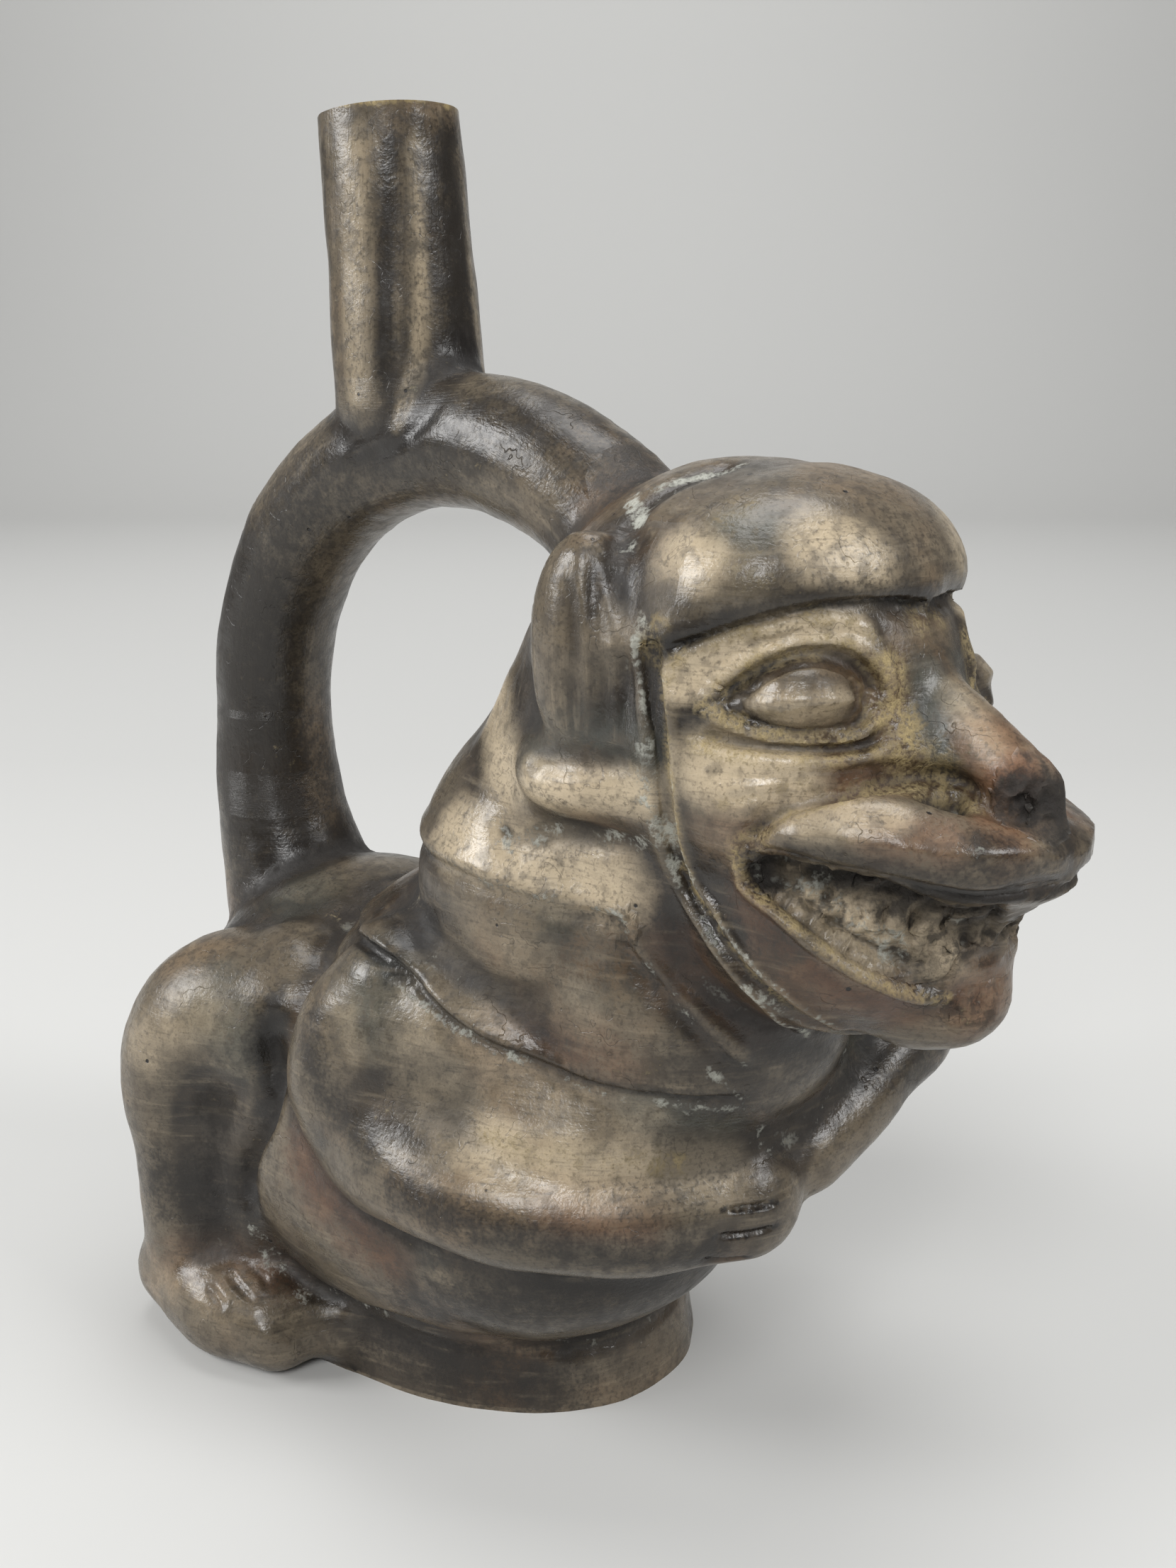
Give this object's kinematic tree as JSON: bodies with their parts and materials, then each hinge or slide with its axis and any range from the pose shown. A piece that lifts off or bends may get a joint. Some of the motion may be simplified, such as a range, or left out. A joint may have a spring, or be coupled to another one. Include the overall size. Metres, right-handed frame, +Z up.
{
  "type": "stirrup spout vessel",
  "caption": "Hollow ceramic bottle in the form of a crouching figure with a large grinning head, a stirrup handle that arches from back to head, and an upright spout",
  "frame": {"origin": "middle of the bounding box on the ground under the foot", "axes": "+Z up along the spout, the figure looks along -Y, its right side is at -X"},
  "size_m": [0.1014, 0.1828, 0.2192],
  "materials": {
    "blackware": "burnished smoke-blackened clay, satin, with brown patches and pale lime in the grooves"
  },
  "bodies": {
    "root": {"vessel": "blackware"}
  },
  "joints": []
}
